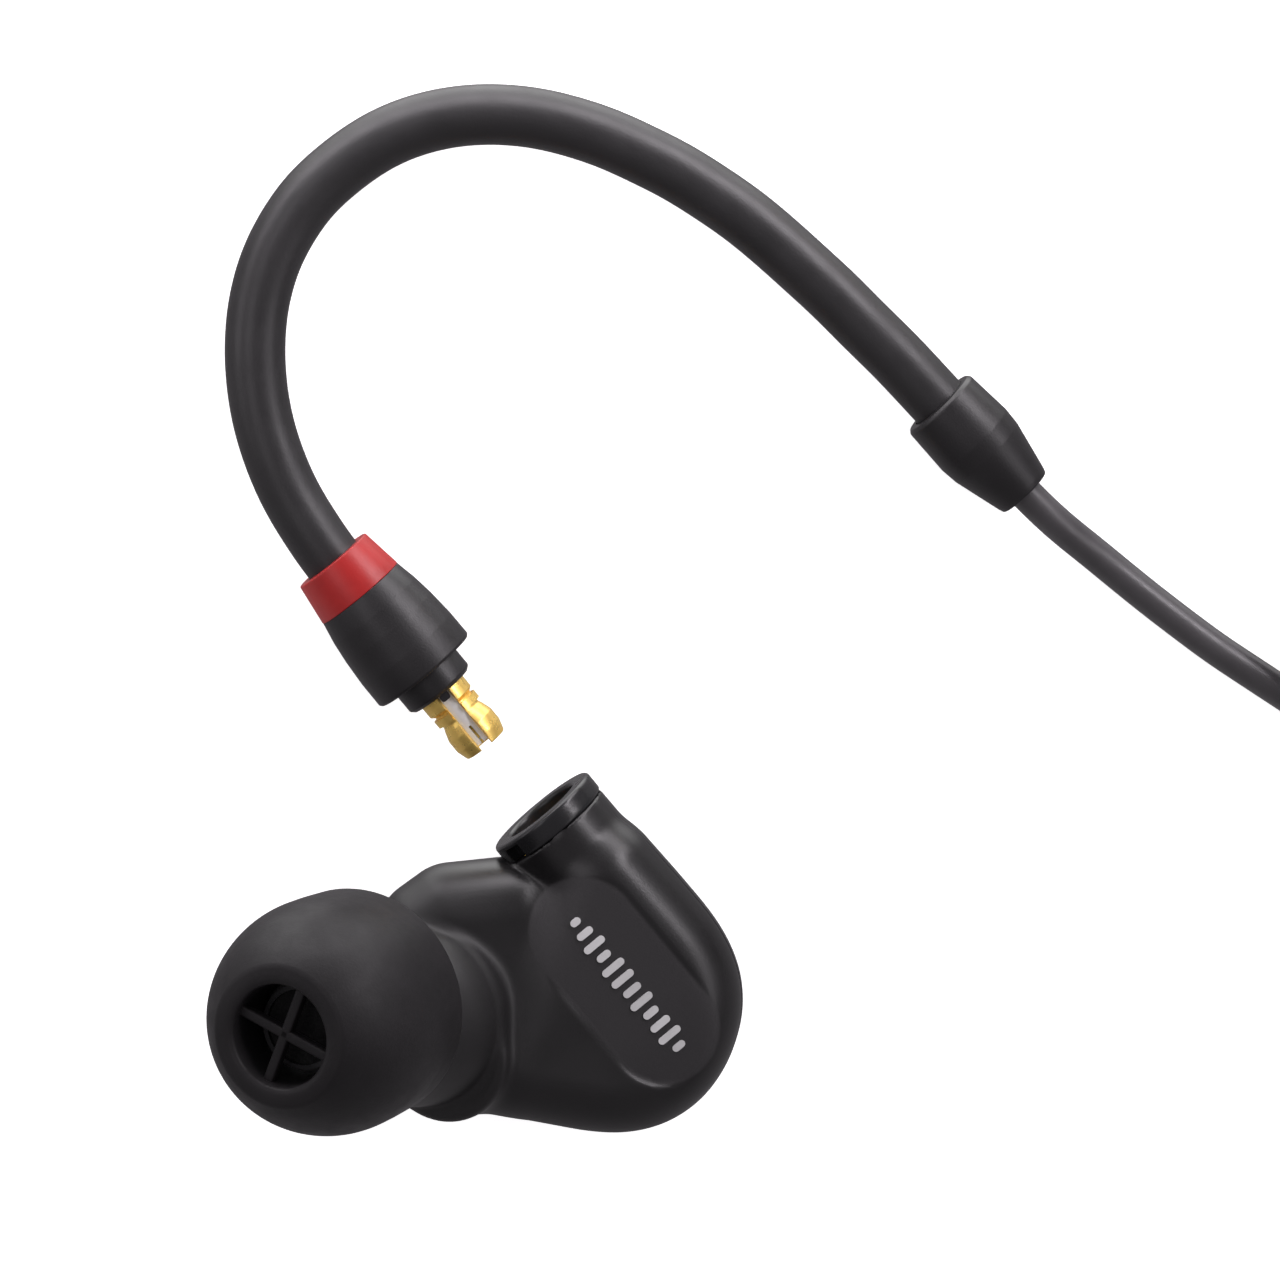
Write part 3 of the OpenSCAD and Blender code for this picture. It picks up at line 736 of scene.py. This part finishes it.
def turret(x, y, z):
    """Socket's round barrel, which sinks into the pillow as it widens to it."""
    away = np.hypot(y, z - AXIS_H)
    widening = np.clip((x - SPIGOT_START) / TURRET_SPREAD, 0, 1) * (ROUND_R - TURRET_R)
    sunk = TURRET_SINK * smooth_step(x, *TURRET_SINKS)
    barrel = soft_max(away - TURRET_R - widening, SPIGOT_START - x, 0.12)
    return soft_max(barrel, x - TURRET_END, 0.3) + sunk


def pad_distance(x, y):
    """Distance to the long oval of the pad."""
    return np.hypot(np.maximum(np.abs(x - PAD_X) - PAD_HALF, 0), y - PAD_Y) - PAD_R


def pad_floor(x):
    """Height of the pad: level with the shell at the turret, and sunk towards its far end."""
    return PAD_H - PAD_SINK * smooth_step(x, 0.9, 5.3)


def housing(x, y, z):
    """Whole outer form, without its inside."""
    main = pillow(x, y, z, MAIN_PLAN, ROUND_R, ROUND_H)
    lobe = pillow(x, y, z, LOBE_PLAN, ROUND_R - 0.25, ROUND_H - 0.25)
    form = soft_min(main, lobe, 1.0)
    form = soft_min(form, turret(x, y, z), 0.35)
    base = soft_min(drum(x, y, z), shoulder(x, y, z), 0.4)
    form = soft_min(form, base, 0.45)
    pad = soft_max(pad_distance(x, y), pad_floor(x) - z, 0.15)
    return soft_max(form, -pad, 0.25)


def front_field(x, y, z):
    """Front shell: hollow, with a fine groove, the socket's bore and the nozzle's hole."""
    form = housing(x, y, z)
    outer_side = smooth_step(0.636 * x + 0.772 * y, -3.0, -1.5)
    form = form + GROOVE_DEPTH * outer_side * np.exp(-((z - GROOVE_H) / GROOVE_W) ** 2)
    shell = np.maximum(form, -(form + WALL))
    shell = soft_max(shell, SEAM_H + 0.03 - z, 0.1)
    away = np.hypot(y, z - AXIS_H)
    ring = np.maximum(away - TURRET_R, np.maximum(SPIGOT_START - x, x - SPIGOT_START - SPIGOT_LEN))
    shell = np.minimum(shell, soft_max(ring, TABLE_GAP - z, 0.05))
    bore = np.maximum(away - SOCKET_R, x - SOCKET_END)
    h, r = about(x, y, z, NOZZLE_ROOT, NOZZLE_DIR)
    hole = np.maximum(r - NOZZLE_HOLE_R, 2 - h)
    return soft_max(np.maximum(shell, -bore), -hole, 0.08)


def rear_field(x, y, z):
    """Outer cover: a shallow tray cut away round the socket, with a vent."""
    rise = np.clip(z / SEAM_H, 0, 1)
    main = polygon(x, y, MAIN_PLAN) - 1.9 - 0.55 * rise
    lobe = polygon(x, y, LOBE_PLAN) - 1.7 - 0.5 * rise
    side = soft_min(main, lobe, 0.8)
    form = soft_max(side, np.maximum(-z, z - SEAM_H + 0.02), 0.35)
    inside = np.maximum(side + 0.65, WALL - z)
    form = np.maximum(form, -inside)
    away = np.hypot(y, z - AXIS_H)
    form = np.maximum(form, -np.maximum(away - TURRET_R - 0.02,
                                        x - SPIGOT_START - SPIGOT_LEN - 0.02))
    form = np.maximum(form, -np.maximum(away - COLLAR_R - 0.02, x - SPIGOT_START - 0.02))
    form = np.maximum(form, -np.maximum(away - SOCKET_R - 0.02, x - SOCKET_END))
    return soft_max(form, 0.5 - np.hypot(x - VENT[0], y - VENT[1]), 0.12)


def collar_field(x, y, z):
    """Ring round the socket's mouth, with a key notch in its outside."""
    away = np.hypot(y, z - AXIS_H)
    ring = soft_max(soft_max(away - COLLAR_R, 2.0 - away, 0.12),
                    soft_max(MOUTH_X - x, x - MOUTH_X - COLLAR_LEN, 0.1), 0.22)
    turn = math.radians(-130)
    out_y, out_z = math.sin(turn), -math.cos(turn)
    outward = y * out_y + (z - AXIS_H) * out_z
    sideways = y * out_z - (z - AXIS_H) * out_y
    ring = soft_max(ring, TABLE_GAP - z, 0.05)
    notch = np.maximum(np.maximum(2.4 - outward, np.abs(sideways) - 0.55),
                       MOUTH_X + 0.3 - x)
    return soft_max(ring, -notch, 0.06)


def surface_of(field, xs, ys, zs):
    """Closed quad mesh on field = 0 over a grid, with every point moved onto the surface."""
    grid = np.meshgrid(xs, ys, zs, indexing="ij")
    value = field(*grid)
    inside = value < 0
    cells = tuple(n - 1 for n in value.shape)
    corners = [(a, b, c) for a in (0, 1) for b in (0, 1) for c in (0, 1)]
    count = sum(inside[a:a + cells[0], b:b + cells[1], c:c + cells[2]].astype(int)
                for a, b, c in corners)
    active = (count > 0) & (count < 8)
    index = np.full(cells, -1)
    index[active] = np.arange(active.sum())
    cell = np.array(np.nonzero(active))
    axes = (xs, ys, zs)
    total = np.zeros((cell.shape[1], 3))
    hits = np.zeros(cell.shape[1])
    for corner in corners:
        for axis in range(3):
            if corner[axis]:
                continue
            other = list(corner)
            other[axis] = 1
            a = tuple(cell[i] + corner[i] for i in range(3))
            b = tuple(cell[i] + other[i] for i in range(3))
            fa, fb = value[a], value[b]
            cut = (fa < 0) != (fb < 0)
            t = np.where(cut, fa / np.where(cut, fa - fb, 1), 0)
            pa = np.stack([axes[i][a[i]] for i in range(3)], 1)
            pb = np.stack([axes[i][b[i]] for i in range(3)], 1)
            total += np.where(cut[:, None], pa + t[:, None] * (pb - pa), 0)
            hits += cut
    points = total / hits[:, None]
    span = min(np.diff(a).min() for a in axes)
    for _ in range(NEWTON_STEPS):
        f = field(*points.T)
        e = 0.01
        slope = np.stack([
            field(*(points + e * np.eye(3)[i]).T) - field(*(points - e * np.eye(3)[i]).T)
            for i in range(3)], 1) / (2 * e)
        size = np.maximum((slope ** 2).sum(1), 0.2)
        move = (f / size)[:, None] * slope
        reach = np.linalg.norm(move, axis=1)
        limit = np.minimum(1, 0.7 * max(span, 0.05) / np.maximum(reach, 1e-9))
        points -= move * limit[:, None]
    faces = []
    for axis in range(3):
        u, v = (axis + 1) % 3, (axis + 2) % 3
        first = [slice(None)] * 3
        second = [slice(None)] * 3
        first[axis], second[axis] = slice(0, -1), slice(1, None)
        for s in (first, second):
            s[u] = slice(1, -1)
            s[v] = slice(1, -1)
        a, b = inside[tuple(first)], inside[tuple(second)]
        edge = np.array(np.nonzero(a != b))
        out = a[tuple(edge)]
        quad = []
        for du, dv in ((0, 0), (1, 0), (1, 1), (0, 1)):
            at = edge.copy()
            at[u] += du
            at[v] += dv
            quad.append(index[tuple(at)])
        quad = np.stack(quad, 1)
        quad[~out] = quad[~out][:, ::-1]
        faces.append(quad)
    return points, np.vstack(faces)


def steps_between(low, high, step):
    """Evenly spaced grid lines about step apart."""
    return np.linspace(low, high, int(round((high - low) / step)) + 1)


# ---- earpiece --------------------------------------------------------------


def build_front():
    step = 0.15
    xs = steps_between(-12.4, 7.0, step)
    ys = steps_between(-17.4, 4.0, step)
    zs = np.concatenate([steps_between(-0.2, 3.84, step), steps_between(3.88, 4.12, 0.03),
                         steps_between(4.16, 10.2, step)])
    points, faces = surface_of(front_field, xs, ys, zs)
    return piece("housing_front", points, faces, "housing_black", "earpiece", ["front_shell"],
                 sharp=60)


def build_rear():
    step = 0.15
    points, faces = surface_of(
        rear_field, steps_between(-10.8, 6.4, step), steps_between(-12.8, 3.4, step),
        steps_between(-0.11, 1.45, 0.12))
    points[:, 2] = np.maximum(points[:, 2], 0)
    return piece("housing_rear", points, faces, "cover_black", "earpiece", ["rear_shell"], sharp=60)


def build_collar():
    step = 0.07
    points, faces = surface_of(
        collar_field, steps_between(MOUTH_X - 0.12, SPIGOT_START + 0.12, step),
        steps_between(-3.2, 3.2, step), steps_between(-0.2, AXIS_H + 3.2, step))
    return piece("socket_collar", points, faces, "collar_black", "earpiece",
                 ["connector_collar"], 60)


def prism(outline, low, high):
    """Closed solid over a flat outline that turns anticlockwise."""
    n = len(outline)
    points = [(px, py, z) for z in (low, high) for px, py in outline]
    faces = [[k, (k + 1) % n, n + (k + 1) % n, n + k] for k in range(n)]
    return points, [*faces, list(range(n))[::-1], list(range(n, 2 * n))]


def bar(x, y, half_w, half_h, low, high):
    """Thin bar with rounded ends, standing on the pad."""
    outline = []
    for centre, start in ((half_h - half_w, 0), (half_w - half_h, 180)):
        for a in range(0, 181, 20):
            t = math.radians(start + a)
            outline.append((x + half_w * math.cos(t), y + centre + half_w * math.sin(t)))
    return prism(outline, low, high)


def build_print():
    """Row of level bars printed on the pad."""
    bars = []
    for i, half_h in enumerate(BAR_HEIGHTS):
        x = BAR_START + BAR_STEP * i
        top = float(pad_floor(np.array(x))) + 0.012
        bars.append(bar(x, PAD_Y, BAR_HALF_W, half_h, top - 0.07, top))
    points, faces = joined(bars)
    return piece("pad_bars", points, faces, "print_grey", "earpiece")


def rounded_bar(length, width, low, high):
    """Flat web with rounded edges, along x."""
    e = 0.12
    half = width / 2
    section = rounded([(-half, low, e), (half, low, e), (half, high, e), (-half, high, e)])
    n = len(section)
    points = [(x, y, z) for x in (-length, length) for y, z in section]
    faces = [[k, (k + 1) % n, n + (k + 1) % n, n + k] for k in range(n)]
    return np.array(points), [*faces, list(range(n))[::-1], list(range(n, 2 * n))]


def tip_profile():
    """Half section of the tip: dome, lip, bore, hollow and skirt."""
    dome_mid = TIP_MOUTH - DOME_DROP
    end = math.acos(LIP_R / TIP_R)
    dome_h = DOME_DROP / math.sin(end)
    inner_r, inner_h = TIP_R - 0.5, dome_h - 0.5
    core_r = MOUTH_R + 0.7
    inner_end = math.acos(core_r / inner_r)
    outer = [(TIP_R * math.cos(t), dome_mid + dome_h * math.sin(t))
             for t in np.linspace(0, end * 0.985, 30)]
    lip = [(LIP_R - 0.06, TIP_MOUTH - 0.035), (LIP_R - 0.3, TIP_MOUTH), (MOUTH_R + 0.3, TIP_MOUTH),
           (MOUTH_R + 0.12, TIP_MOUTH - 0.03), (MOUTH_R + 0.03, TIP_MOUTH - 0.12),
           (MOUTH_R, TIP_MOUTH - 0.3)]
    inner = [(inner_r * math.cos(t), dome_mid + inner_h * math.sin(t))
             for t in np.linspace(inner_end, 0, 24)]
    skirt = [(inner_r - 0.1, TIP_RIM + 1), (inner_r - 0.15, TIP_RIM + 0.2),
             (inner_r - 0.1, TIP_RIM + 0.06), (inner_r + 0.1, TIP_RIM), (TIP_R - 0.3, TIP_RIM),
             (TIP_R - 0.12, TIP_RIM + 0.06), (TIP_R - 0.08, TIP_RIM + 0.25),
             (TIP_R - 0.01, TIP_RIM + 2)]
    bore = [(MOUTH_R, TIP_RIM + 1.1), (MOUTH_R + 0.1, TIP_RIM + 1), (core_r - 0.1, TIP_RIM + 1),
            (core_r, TIP_RIM + 1.1)]
    return [*outer, *lip, *bore, *inner, *skirt]


def build_tip():
    skin = revolved(tip_profile()[::-1], 144)
    webs = []
    for turn in (WEB_TURN, WEB_TURN + 90):
        points, faces = rounded_bar(MOUTH_R + 0.05, 0.5, TIP_MOUTH - 1.2, TIP_MOUTH - 0.6)
        c, s = math.cos(math.radians(turn)), math.sin(math.radians(turn))
        points = points @ np.array([[c, s, 0], [-s, c, 0], [0, 0, 1]])
        webs.append((points, faces))
    points, faces = joined([skin, *webs])
    across = (math.cos(TILT) * math.cos(TURN), math.cos(TILT) * math.sin(TURN), -math.sin(TILT))
    points = placed(points, NOZZLE_ROOT, NOZZLE_DIR, across)
    return piece("silicone_tip", points, faces, "silicone", "ear_tip", ["ear_tip"], sharp=50)


# ---- lead ------------------------------------------------------------------

PLUG_AXIS = (1, 0, 0)
SLEEVE_START = (-13, 28.37, 2.25)
SLEEVE_TURN = math.radians(5)


def lathe(name, profile, origin, direction, look, replaced, sides=96):
    """Turned piece of the lead from rounded profile corners (r, h, radius)."""
    points, faces = revolved(rounded(profile), sides)
    return piece(name, placed(points, origin, direction), faces, look, "lead", [replaced])


def build_ferrule():
    """Slotted contact: a part turn that leaves the slot open."""
    origin = (node_box("plug_ferrule")[0][0], 0, AXIS_H)
    wall = rounded([(1.0, 0, 0.03), (1.3, 0, 0.08), (1.3, 0.72, 0.06), (1.1, 0.88, 0.06),
                    (1.1, 1.55, 0.15), (1.2, 1.78, 0.15), (1.35, 2.25, 0.3), (1.35, 2.9, 0.4),
                    (1.17, 3.5, 0.1), (1.0, 3.5, 0.05)], steps=6)
    points, faces = revolved(wall, 120, 18, 342)
    points = placed(points, origin, PLUG_AXIS, (0, 0, 1))
    return piece("plug_contact", points, faces, "gold", "lead", ["plug_ferrule"], sharp=45)


def build_plug():
    collar = node_box("plug_collar")
    boot = node_box("plug_boot")
    ring = node_box("colour_ring")
    neck = revolved(rounded([(0, 0), (1.88, 0, 0.02), (1.88, 1.12, 0.12), (1.68, 1.3, 0.06),
                             (0, 1.3)]))
    key = rounded([(-0.25, 1.1), (0.25, 1.1), (0.25, 1.7, 0.14), (-0.25, 1.7, 0.14)])
    points, faces = prism(key, 1.05, 1.4)
    nub = ([(up, side, h) for side, h, up in points], faces)
    points, faces = joined([neck, nub])
    points = placed(points, (collar[0][0], 0, AXIS_H), PLUG_AXIS)
    piece("plug_neck", points, faces, "grip_black", "lead", ["plug_collar"])
    lathe("plug_grip", [(0.87, 0), (2.38, 0, 0.05), (2.6, 1.1, 1), (2.74, 2.2, 1), (2.84, 3.6, 1),
                        (2.85, 4.93, 0.12), (2.75, 5.05, 0.06), (0.87, 5.05)],
          (boot[0][0], 0, AXIS_H), PLUG_AXIS, "grip_black", "plug_boot")
    lathe("side_ring", [(1.52, 0), (2.10, 0, 0.1), (2.4, 2.15, 0.05), (1.52, 2.15)],
          (ring[0][0], 0, AXIS_H), PLUG_AXIS, "ring_red", "colour_ring")


def build_hook():
    path = smoothed(spline(HOOK_POINTS, 8), 12)
    points, faces = hose(path, 1.5, 0.95)
    return piece("hook_hose", points, faces, "hook_black", "lead", ["ear_hook"])


def build_sleeve():
    direction = (math.cos(SLEEVE_TURN), math.sin(SLEEVE_TURN), 0)
    lathe("hook_end_sleeve",
          [(1.55, 0), (1.95, 0, 0.12), (2.1, 0.18, 0.2), (2.22, 2.6, 1.0), (2.14, 3.5, 1.0),
           (1.55, 6.0, 0.3), (1.45, 6.3, 0.1), (0.9, 6.3), (0.9, 0.6), (1.55, 0.6)],
          SLEEVE_START, direction, "grip_black", "hook_sleeve")


# ---- cord ------------------------------------------------------------------

# Radius and height of the places in the wound bundle, and the order that the turns fill them.
COLUMNS = [6.8, 8.5, 10.2, 11.9, 13.6]
ROWS = [1.15, 2.85, 4.55, 6.25]
CELLS = [
    (4, 0), (3, 0), (2, 0), (1, 0), (0, 0), (0, 1), (1, 1), (2, 1), (3, 1),
    (3, 2), (2, 2), (1, 2), (0, 2), (1, 3), (2, 3), (3, 3), (4, 2), (4, 1)]
TURN_POINTS = 36
COIL_START = -73.0
COIL_END = 90.0


def coil_points():
    """Turns of the wound length, each easing over to the next place in the bundle."""
    sweep = (len(CELLS) - 1) * 360 + COIL_END - COIL_START
    count = int(sweep / 360 * TURN_POINTS)
    out = []
    for n in range(count + 1):
        angle = sweep * n / count
        turn = min(int(angle // 360), len(CELLS) - 1)
        share = angle / 360 - turn
        column, row = CELLS[turn]
        r, z = COLUMNS[column], ROWS[row]
        if turn + 1 < len(CELLS):
            next_column, next_row = CELLS[turn + 1]
            t = float(smooth_step(np.array(share), 0.8, 1.0))
            r += t * (COLUMNS[next_column] - r)
            z += t * (ROWS[next_row] - z)
        a = math.radians(COIL_START + angle)
        out.append((COIL_CENTRE[0] + r * math.cos(a), COIL_CENTRE[1] + r * math.sin(a), z))
    return out


def build_cable():
    coil = coil_points()
    start = spline([*CABLE_POINTS, coil[0]], 5)[:-1]
    end = spline([coil[-1], *END_POINTS], 5)[1:]
    path = np.vstack([smoothed(start, 3), coil, smoothed(end, 3)])
    curve = bpy.data.curves.new("free_cable", "CURVE")
    curve.dimensions = "3D"
    curve.bevel_depth = CABLE_D / 2 * MM
    curve.bevel_resolution = 5
    curve.use_fill_caps = True
    line = curve.splines.new("POLY")
    line.points.add(len(path) - 1)
    for point, place in zip(line.points, path):
        point.co = (*(place * MM), 1)
    line.use_smooth = True
    curve.materials.append(LOOKS["cable_black"])
    cable = bpy.data.objects.new("free_cable", curve)
    bpy.context.scene.collection.objects.link(cable)
    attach(cable, "lead")
    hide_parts("cable", "cable_coil", "cable_end")
    return cable, path[0] * MM


def build_tie():
    """Strap round the bundle, as a closed band with rounded corners."""
    low, high = node_box("cable_tie")
    x0, x1, top = low[0], high[0], high[2]
    band = 0.28
    outline = rounded([(x0, 0, 1.0), (x1, 0, 1.0), (x1, top, 1.0), (x0, top, 1.0)], steps=8)
    inner = rounded([(x0 + band, band, 0.8), (x1 - band, band, 0.8), (x1 - band, top - band, 0.8),
                     (x0 + band, top - band, 0.8)], steps=8)
    n = len(outline)
    points = [(x, y, z) for y in (low[1], high[1]) for loop in (outline, inner) for x, z in loop]
    faces = []
    for k in range(n):
        m = (k + 1) % n
        faces.append([k, m, 2 * n + m, 2 * n + k])
        faces.append([n + m, n + k, 3 * n + k, 3 * n + m])
        faces.append([m, k, n + k, n + m])
        faces.append([2 * n + k, 2 * n + m, 3 * n + m, 3 * n + k])
    return piece("coil_strap", points, faces, "strap_black", "lead", ["cable_tie"])


def build_jack():
    """Ribbed relief, grip and the three contacts of a stereo jack."""
    back = (-1, 0, 0)
    relief = node_box("jack_relief")
    barrel = node_box("jack_barrel")
    ribs = [(0.9, 0), (1.28, 0, 0.1)]
    for i in range(6):
        h = 0.7 + i * 0.85
        r = 1.38 + 0.13 * i
        ribs += [(r, h, 0.06), (r - 0.28, h + 0.06, 0.05), (r - 0.26, h + 0.36, 0.05),
                 (r + 0.05, h + 0.42, 0.06)]
    ribs += [(2.28, 6.1, 0.2), (2.3, 7.0), (0.9, 7.0)]
    lathe("jack_strain_relief", ribs, (relief[1][0], JACK_Y, JACK_H), back, "grip_black",
          "jack_relief", 72)
    grip = [(0, 0), (2.7, 0, 0.15), (3.2, 0.5, 0.25)]
    for i in range(5):
        h = 2.6 + i * 0.9
        grip += [(3.2, h, 0.05), (3.0, h + 0.08, 0.05), (3.0, h + 0.36, 0.05),
                 (3.2, h + 0.44, 0.05)]
    grip += [(3.2, 13.3, 0.3), (2.7, 14, 0.1), (0, 14)]
    lathe("jack_grip", grip, (barrel[1][0], JACK_Y, JACK_H), back, "grip_black", "jack_barrel")
    front = barrel[0][0]
    lathe("jack_contact_sleeve",
          [(0, 0), (2.4, 0), (2.4, 0.3, 0.06), (1.75, 0.32, 0.04), (1.75, 6.3, 0.03), (0, 6.3)],
          (front, JACK_Y, JACK_H), back, "gold", "jack_sleeve")
    lathe("jack_contact_ring", [(0, 0), (1.75, 0, 0.05), (1.75, 2.4, 0.05), (0, 2.4)],
          (front - 6.8, JACK_Y, JACK_H), back, "gold", "jack_ring")
    lathe("jack_contact_tip",
          [(0, 0), (1.25, 0, 0.05), (1.1, 0.9, 0.5), (1.7, 1.7, 0.2), (1.7, 2.1, 0.3),
           (0.7, 4.3, 0.3), (0, 4.3)],
          (front - 9.7, JACK_Y, JACK_H), back, "gold", "jack_tip")
    return ["jack_strain_relief", "jack_grip", "jack_contact_sleeve", "jack_contact_ring",
            "jack_contact_tip"]


# ---- CAD nodes that stay ---------------------------------------------------

KEPT = {
    "socket_barrel": "gold", "socket_insulator": "insulator_white", "socket_contact": "gold",
    "nozzle": "cover_black", "nozzle_mesh": "mesh_dark", "acoustic_damper": "foam",
    "driver_frame": "frame_grey", "driver_yoke": "steel", "driver_magnet": "steel",
    "pole_plate": "steel", "voice_coil": "copper", "diaphragm": "film",
    "driver_board": "board_green", "driver_gasket": "foam", "signal_wires": "copper",
    "vent_filter": "foam", "snap_ring": "gold",
    "plug_pin": "gold", "plug_insulator": "insulator_white", "hook_cable": "cable_black",
    "jack_insulators": "grip_black",
}


def dress_kept_nodes():
    """Gives each CAD node that stays its own finish."""
    for name, look in KEPT.items():
        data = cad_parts[name].data
        data.materials.clear()
        data.materials.append(LOOKS[look])


make_camera()
make_studio()
free_cable, cable_exit = build_cable()
jack_pieces = build_jack()
strap = build_tie()
build_front()
build_rear()
build_collar()
build_print()
build_tip()
build_ferrule()
build_plug()
build_hook()
build_sleeve()
dress_kept_nodes()
